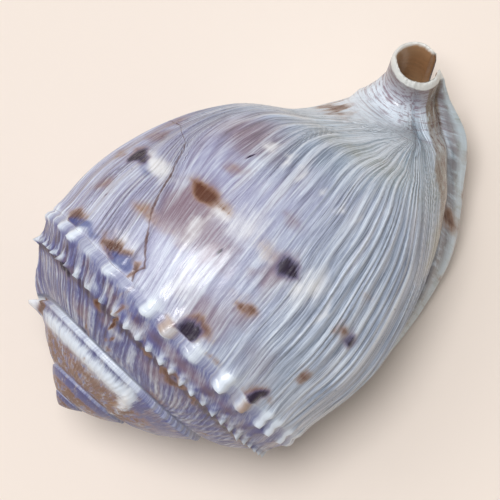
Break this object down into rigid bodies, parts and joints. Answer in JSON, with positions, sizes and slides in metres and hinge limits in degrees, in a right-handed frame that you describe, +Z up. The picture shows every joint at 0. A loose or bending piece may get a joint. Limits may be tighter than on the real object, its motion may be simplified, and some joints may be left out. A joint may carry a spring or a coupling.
{
  "type": "helmet shell",
  "caption": "Large helmet sea snail shell with a knobbed shoulder, low spire, thick flared lip, toothed slot aperture and an upturned siphonal canal.",
  "frame": {"origin": "centre of the footprint, on the plane the shell lies on", "axes": "+X from the apex towards the siphonal canal, +Y away from the lip, +Z up from the aperture towards the back"},
  "size_m": [0.1786, 0.1184, 0.0976],
  "materials": {
    "shell": "glossy natural shell, bluish white with brown spots"
  },
  "bodies": {
    "root": {"shell": "shell"}
  },
  "joints": []
}
